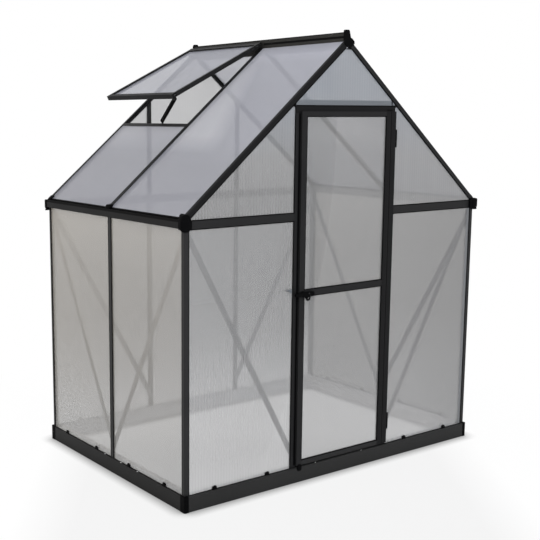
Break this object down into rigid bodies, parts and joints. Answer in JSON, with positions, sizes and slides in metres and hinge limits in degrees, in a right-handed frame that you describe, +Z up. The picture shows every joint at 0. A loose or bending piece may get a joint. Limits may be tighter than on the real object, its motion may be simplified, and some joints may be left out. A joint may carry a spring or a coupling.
{
  "type": "greenhouse",
  "caption": "Small gable greenhouse with a dark metal frame on a low base, milky twin-wall panels, a hinged door with a lever handle and a propped roof vent.",
  "frame": {"origin": "on the ground at the middle of the base, which is the centre of the anchor holes", "axes": "+Z up, the door gable faces -Y, the roof slope with the vent faces -X"},
  "size_m": [1.87, 1.2563, 2.0866],
  "materials": {
    "frame_dark": "satin charcoal powder coat",
    "base_dark": "satin dark coat",
    "plastic_black": "fine matt black",
    "panel_twinwall": "milky ribbed twin-wall sheet",
    "steel_plain": "zinc plated"
  },
  "bodies": {
    "frame": {"base_corner_caps": "plastic_black", "base_front": "base_dark", "base_rear": "base_dark", "base_sides": "base_dark", "brace_bolts": "steel_plain", "corner_post_front_left": "frame_dark", "corner_post_front_right": "frame_dark", "corner_posts_rear": "frame_dark", "door_head": "frame_dark", "door_jamb_left": "frame_dark", "door_jamb_right": "frame_dark", "eave_corner_caps": "plastic_black", "front_rails": "frame_dark", "gable_braces": "frame_dark", "gable_panels_front": "panel_twinwall", "gable_panels_rear": "panel_twinwall", "gable_rafter_front_left": "frame_dark", "gable_rafter_front_right": "frame_dark", "gable_rafters_rear": "frame_dark", "gutter_left": "frame_dark", "gutter_right": "frame_dark", "hinge_jamb_leaves": "frame_dark", "hinge_pins": "steel_plain", "latch_keeper": "plastic_black", "mid_posts": "frame_dark", "mid_rafters": "frame_dark", "panel_clips": "plastic_black", "rear_posts": "frame_dark", "rear_rails": "frame_dark", "ridge_beam": "frame_dark", "ridge_caps": "plastic_black", "roof_edge_strips": "plastic_black", "roof_panels_left": "panel_twinwall", "roof_panels_right": "panel_twinwall", "side_braces": "frame_dark", "threshold": "frame_dark", "vent_hinge_bar": "frame_dark", "vent_sill": "frame_dark", "wall_panels_front": "panel_twinwall", "wall_panels_left": "panel_twinwall", "wall_panels_rear": "panel_twinwall", "wall_panels_right": "panel_twinwall"},
    "door": {"door_stile_left": "frame_dark", "door_stile_right": "frame_dark", "door_hinge_stile": "frame_dark", "door_top_rail": "frame_dark", "door_mid_rail": "frame_dark", "door_bottom_rail": "frame_dark", "door_panel_upper": "panel_twinwall", "door_panel_lower": "panel_twinwall", "hinge_door_leaves": "frame_dark", "handle_plate": "plastic_black"},
    "handle": {"handle_lever": "plastic_black", "handle_spindle": "steel_plain", "handle_inner_lever": "plastic_black"},
    "vent": {"vent_top_rail": "frame_dark", "vent_bottom_rail": "frame_dark", "vent_stiles": "frame_dark", "vent_panel": "panel_twinwall"},
    "stay": {"vent_stay": "plastic_black"}
  },
  "joints": [
    {"name": "door_hinge", "type": "hinge", "parent": "frame", "child": "door", "pos_m": [0.3165, -0.6155, 0.9], "axis": [0, 0, 1], "range_deg": [0, 140]},
    {"name": "handle_turn", "type": "hinge", "parent": "door", "child": "handle", "pos_m": [-0.266, -0.6155, 0.897], "axis": [0, 1, 0], "range_deg": [0, 90]},
    {"name": "vent_hinge", "type": "hinge", "parent": "frame", "child": "vent", "pos_m": [-0.01908, 0.3, 2.0591], "axis": [0, 1, 0], "range_deg": [-14, 10]},
    {"name": "stay_pivot", "type": "hinge", "parent": "vent", "child": "stay", "pos_m": [-0.52092, 0.033, 1.78318], "axis": [-0.8988, 0, -0.4384], "range_deg": [-32.14, 22.96]}
  ],
  "couplings": [
    {"joint": "stay_pivot", "follows": "vent_hinge", "ratio": 2.2955}
  ]
}
